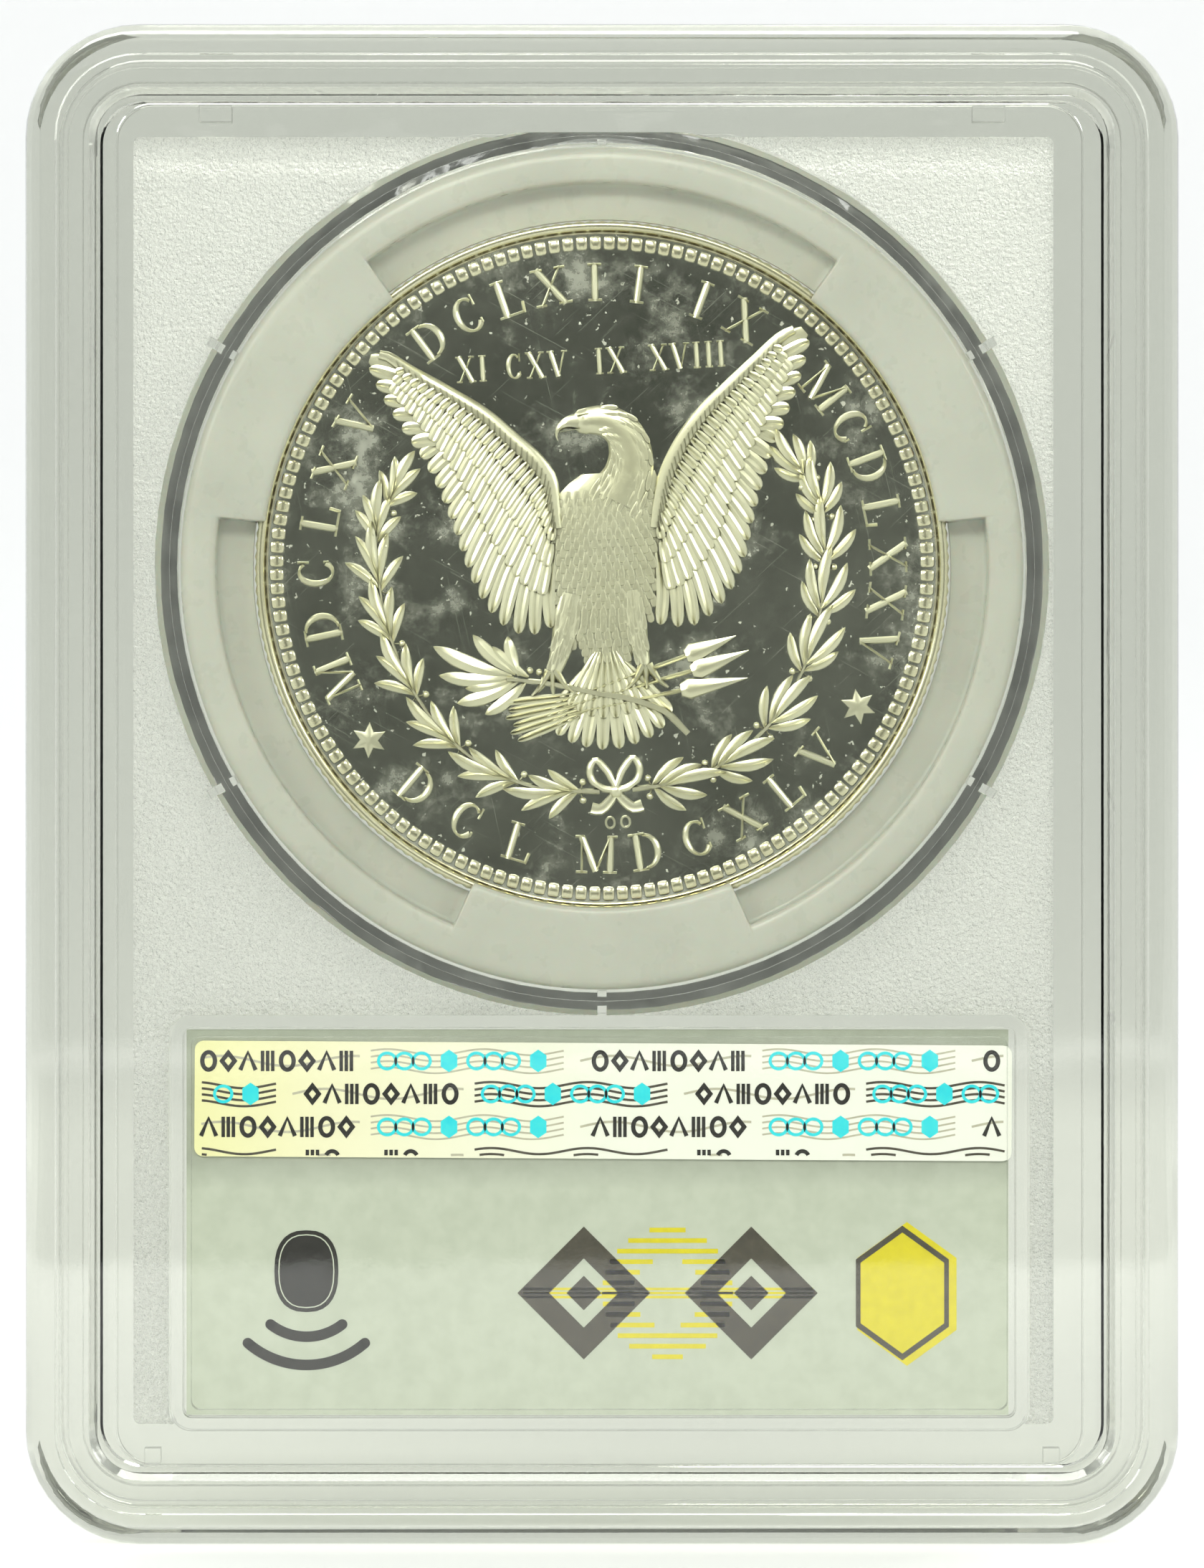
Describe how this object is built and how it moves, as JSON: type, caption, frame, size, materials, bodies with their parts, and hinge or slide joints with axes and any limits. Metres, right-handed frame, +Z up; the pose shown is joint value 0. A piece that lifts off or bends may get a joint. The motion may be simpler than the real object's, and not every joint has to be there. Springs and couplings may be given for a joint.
{
  "type": "graded coin slab",
  "caption": "Sealed clear plastic case for one graded silver coin, with a centring ring around the coin and a printed label in its own pocket.",
  "frame": {"origin": "centre of the bounding box's bottom face: the case stands on its label-end edge, centred across its width and depth", "axes": "+X across the case to the right of someone who looks at the pictured (back) face, -Y out of that back face, +Z up from the label end to the coin end"},
  "size_m": [0.063, 0.008, 0.083],
  "materials": {
    "clear_case": "clear polished polystyrene, frosted inside around the coin and label",
    "ring_plastic": "smooth translucent ivory",
    "coin_silver": "mirror fields, frosted devices, pale gold toning",
    "label_paper": "smooth printed paper",
    "strip_film": "satin foil with printed pattern",
    "inlay_film": "clear film",
    "antenna_foil": "etched foil",
    "chip_silicon": "bare die"
  },
  "bodies": {
    "root": {"back_shell": "clear_case", "front_shell": "clear_case", "coin_ring": "ring_plastic", "coin": "coin_silver", "label_back_leaf": "label_paper", "label_front_leaf": "label_paper", "hologram_strip": "strip_film", "nfc_film": "inlay_film", "nfc_antenna": "antenna_foil", "nfc_bridge": "antenna_foil", "nfc_chip": "chip_silicon"}
  },
  "joints": []
}
